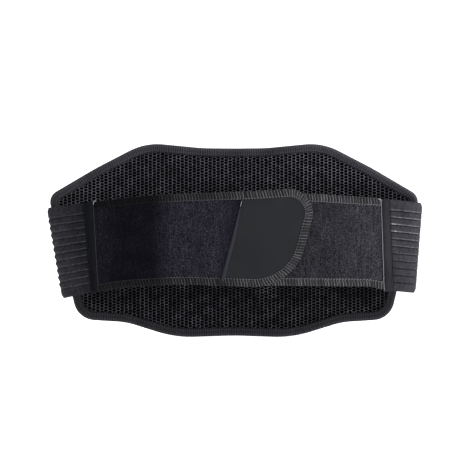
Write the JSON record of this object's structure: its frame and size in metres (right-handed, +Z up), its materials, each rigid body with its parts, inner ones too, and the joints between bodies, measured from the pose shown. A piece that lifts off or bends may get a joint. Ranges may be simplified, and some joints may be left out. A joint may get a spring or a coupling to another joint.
{
  "type": "lumbar support belt",
  "caption": "Lumbar support belt with a padded mesh back panel, flat stays, ribbed elastic side straps and two front wings closed by a hook-and-loop pull tab.",
  "frame": {"origin": "middle of the waist opening, at half the height of the back panel's middle", "axes": "+Z up along the wearer's body, -Y towards the front closure, +X towards the wearer's left side, which is the right-hand side seen from the front"},
  "size_m": [0.4238, 0.087, 0.2207],
  "materials": {
    "spacer_mesh": "honeycomb spacer mesh of fine threads",
    "foam": "closed-cell foam under fabric",
    "cover_fabric": "plain close-woven cover",
    "binding": "smooth folded edge binding",
    "woven_tape": "ribbed woven tape",
    "stay_steel": "flat spring steel",
    "cap_plastic": "dipped plastic",
    "bone_plastic": "flat flexible plastic",
    "elastic": "ribbed woven elastic, slight sheen on the ribs",
    "loop_pile": "brushed loop pile, speckled",
    "lining": "smooth knitted lining",
    "overlock_thread": "close overlocked thread",
    "tab_laminate": "smooth matt laminated fabric",
    "hook": "hook fastener strip"
  },
  "bodies": {
    "back": {"left_anchor_tape": "woven_tape", "left_elastic": "elastic", "panel_binding": "binding", "panel_cover": "cover_fabric", "panel_foam": "foam", "panel_mesh": "spacer_mesh", "right_anchor_tape": "woven_tape", "right_elastic": "elastic", "stay_1": "stay_steel", "stay_1_bottom_cap": "cap_plastic", "stay_1_top_cap": "cap_plastic", "stay_2": "stay_steel", "stay_2_bottom_cap": "cap_plastic", "stay_2_top_cap": "cap_plastic", "stay_3": "stay_steel", "stay_3_bottom_cap": "cap_plastic", "stay_3_top_cap": "cap_plastic", "stay_4": "stay_steel", "stay_4_bottom_cap": "cap_plastic", "stay_4_top_cap": "cap_plastic", "stay_channel_1": "woven_tape", "stay_channel_2": "woven_tape", "stay_channel_3": "woven_tape", "stay_channel_4": "woven_tape"},
    "left_wing": {"left_wing_bottom_overlock": "overlock_thread", "left_wing_core": "foam", "left_wing_lining": "lining", "left_wing_pile": "loop_pile", "left_wing_seam_bone": "bone_plastic", "left_wing_seam_tape": "woven_tape", "left_wing_top_overlock": "overlock_thread"},
    "right_wing": {"right_wing_core": "foam", "right_wing_lining": "lining", "right_wing_overlock": "overlock_thread", "right_wing_pile": "loop_pile", "right_wing_seam_bone": "bone_plastic", "right_wing_seam_tape": "woven_tape"},
    "tab": {"tab_core": "foam", "tab_face": "tab_laminate", "tab_hook": "hook", "tab_lining": "lining", "tab_overlock": "overlock_thread", "tab_rib": "loop_pile"}
  },
  "joints": [
    {"name": "left_wing_open", "type": "hinge", "parent": "back", "child": "left_wing", "pos_m": [-0.1633, -0.02672, -0.0074], "axis": [0.0943, -0.02, -0.9953], "range_deg": [0, 140]},
    {"name": "right_wing_open", "type": "hinge", "parent": "back", "child": "right_wing", "pos_m": [0.1756, -0.01777, -0.0044], "axis": [-0.0432, -0.01, 0.999], "range_deg": [0, 84]},
    {"name": "tab_peel", "type": "hinge", "parent": "left_wing", "child": "tab", "pos_m": [-0.00248, -0.04277, 0.0035], "axis": [-0.2553, 0.0008, -0.9669], "range_deg": [0, 140]}
  ],
  "couplings": [
    {"joint": "right_wing_open", "follows": "left_wing_open", "ratio": 0.6}
  ]
}
